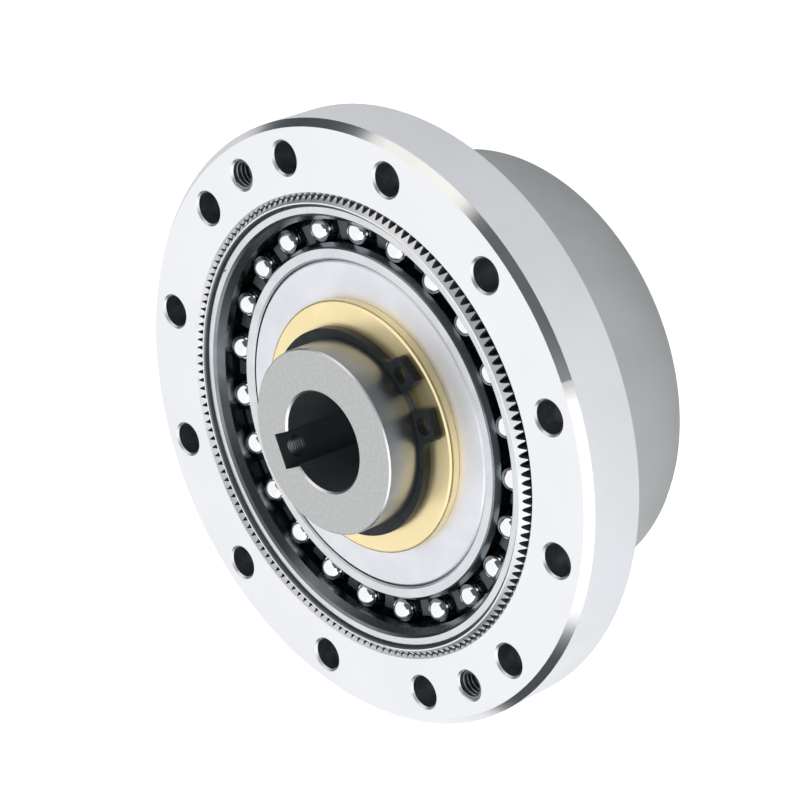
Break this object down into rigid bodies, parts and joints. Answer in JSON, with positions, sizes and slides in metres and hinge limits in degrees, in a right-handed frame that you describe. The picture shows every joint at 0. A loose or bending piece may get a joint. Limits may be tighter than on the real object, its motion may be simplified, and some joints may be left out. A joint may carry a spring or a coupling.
{
  "type": "strain wave gear",
  "caption": "Strain wave gear component set: flanged ring with internal teeth, thin toothed cup, oval cam on a flexing ball bearing, keyed hub with snap ring and bronze washer.",
  "frame": {"origin": "centre of the cup's boss face, on which the part stands", "axes": "+Z along the shaft from the boss to the front of the hub; the long axis of the oval wave lies along Y; the hub's keyway faces -X"},
  "size_m": [0.085, 0.085, 0.037],
  "materials": {
    "ground_steel": "fine ground, satin",
    "cup_steel": "matte, fine grain",
    "ring_steel": "ground, satin",
    "ball_chrome": "polished",
    "cage_nylon": "moulded, satin",
    "plug_steel": "machined, satin",
    "insert_steel": "phosphated",
    "hub_steel": "blasted face, turned side",
    "washer_bronze": "satin",
    "black_spring_steel": "black oxide"
  },
  "bodies": {
    "fixed_ring": {"circular_spline": "ground_steel"},
    "wave_generator": {"wave_generator_plug": "plug_steel", "bearing_inner_ring": "ring_steel"},
    "coupling_insert": {"oldham_insert": "insert_steel"},
    "input_shaft": {"input_hub": "hub_steel", "thrust_washer": "washer_bronze", "snap_ring": "black_spring_steel"},
    "ball_train": {"ball_cage": "cage_nylon", "ball_01": "ball_chrome", "ball_02": "ball_chrome", "ball_03": "ball_chrome", "ball_04": "ball_chrome", "ball_05": "ball_chrome", "ball_06": "ball_chrome", "ball_07": "ball_chrome", "ball_08": "ball_chrome", "ball_09": "ball_chrome", "ball_10": "ball_chrome", "ball_11": "ball_chrome", "ball_12": "ball_chrome", "ball_13": "ball_chrome", "ball_14": "ball_chrome", "ball_15": "ball_chrome", "ball_16": "ball_chrome", "ball_17": "ball_chrome", "ball_18": "ball_chrome", "ball_19": "ball_chrome", "ball_20": "ball_chrome", "ball_21": "ball_chrome", "ball_22": "ball_chrome", "ball_23": "ball_chrome"},
    "output_cup": {"flexspline": "cup_steel", "bearing_outer_ring": "ring_steel"}
  },
  "joints": [
    {"name": "wave_generator_spin", "type": "hinge", "parent": "fixed_ring", "child": "wave_generator", "pos_m": [0, 0, 0.026], "axis": [0, 0, 1], "continuous": true, "deforming": ["flexspline", "bearing_outer_ring", "bearing_inner_ring"]},
    {"name": "cup_spin", "type": "hinge", "parent": "fixed_ring", "child": "output_cup", "pos_m": [0, 0, 0.026], "axis": [0, 0, 1], "continuous": true},
    {"name": "ball_orbit", "type": "hinge", "parent": "fixed_ring", "child": "ball_train", "pos_m": [0, 0, 0.026], "axis": [0, 0, 1], "continuous": true},
    {"name": "insert_slide", "type": "slide", "parent": "wave_generator", "child": "coupling_insert", "axis": [1, 0, 0], "range_m": [-0.0002, 0.0002]},
    {"name": "hub_slide", "type": "slide", "parent": "coupling_insert", "child": "input_shaft", "axis": [0, 1, 0], "range_m": [-0.0002, 0.0002]}
  ],
  "couplings": [
    {"joint": "cup_spin", "follows": "wave_generator_spin", "ratio": -0.0125},
    {"joint": "ball_orbit", "follows": "wave_generator_spin", "ratio": 0.45569}
  ]
}
